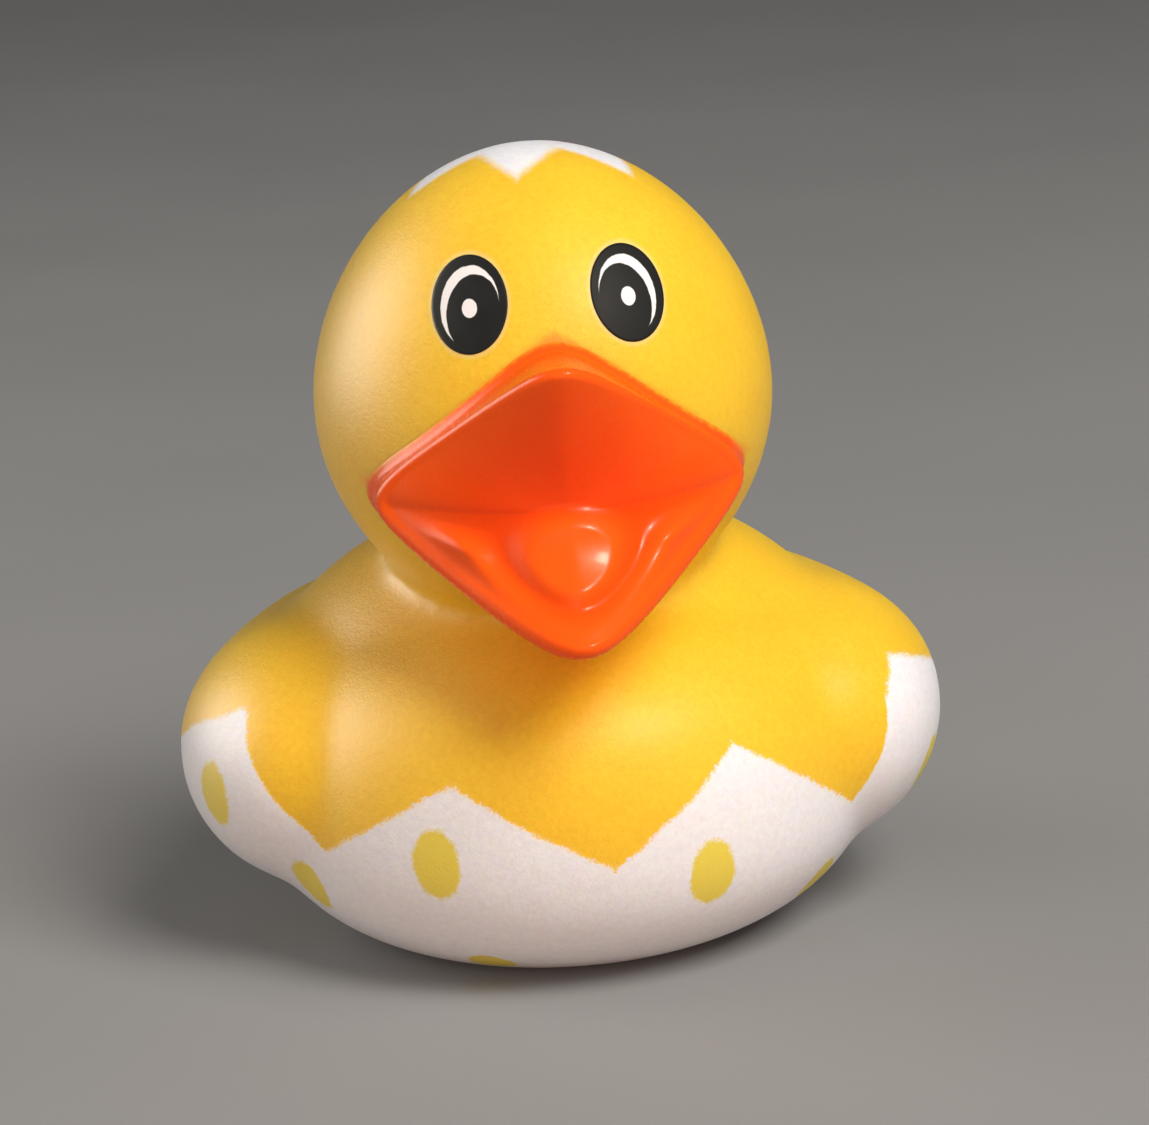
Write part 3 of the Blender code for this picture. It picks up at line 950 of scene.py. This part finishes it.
def studio_light():
    area_light("window", (-0.46, 0.14, 0.24), 0.28, 0.34, 0.65, "#f8f6f4")
    sheen = area_light("window_sheen", (-0.50, 0.16, 0.18), 0.40, 0.40, 3.0, "#fff4e4")
    sheen.visible_diffuse = False
    key = area_light("warm_key", (0.26, -0.32, 0.48), 0.30, 0.30, 3.9, "#fffcf7")
    key.visible_glossy = False
    spark = area_light("key_spark", (0.24, -0.34, 0.46), 0.07, 0.07, 1.4, "#fff4e2")
    spark.visible_diffuse = False
    fill = area_light("front_fill", (-0.06, -0.62, 0.22), 0.50, 0.40, 0.8, "#fff2e2")
    fill.visible_glossy = False
    glow = area_light("floor_glow", (0.0, -0.36, 0.04), 0.60, 0.08, 0.34, "#ffb888")
    glow.visible_glossy = False
    lit = bpy.data.collections.new("lit_from_below")
    for piece in (skin, bill, *eyes):
        lit.objects.link(piece)
    glow.light_linking.receiver_collection = lit
    world = bpy.data.worlds.new("studio_air")
    world.use_nodes = True
    air = world.node_tree.nodes["Background"]
    air.inputs["Color"].default_value = colour("#b9bcbe")
    air.inputs["Strength"].default_value = 0.36
    bpy.context.scene.world = world


def camera():
    """Long lens, a little above the duck and to its right, turned slightly."""
    data = bpy.data.cameras.new("camera")
    data.sensor_width = 36.0
    data.lens = 122.98
    data.clip_start = 0.01
    data.clip_end = 20.0
    eye = bpy.data.objects.new("camera", data)
    bpy.context.scene.collection.objects.link(eye)
    azimuth, elevation, roll = (math.radians(value) for value in (-4.0, 15.0, 3.7))
    forward = Vector(
        (
            -math.sin(azimuth) * math.cos(elevation),
            math.cos(azimuth) * math.cos(elevation),
            -math.sin(elevation),
        )
    )
    right = Vector((math.cos(azimuth), math.sin(azimuth), 0.0))
    over = right.cross(forward)
    x_axis = right * math.cos(roll) - over * math.sin(roll)
    y_axis = right * math.sin(roll) + over * math.cos(roll)
    turn = Matrix((x_axis, y_axis, -forward)).transposed()
    eye.matrix_world = Matrix.Translation(Vector((-15.74, -246.3, 89.97)) * MM) @ turn.to_4x4()
    bpy.context.scene.camera = eye


studio_floor()
studio_light()
camera()
bpy.context.scene.view_settings.view_transform = "Standard"
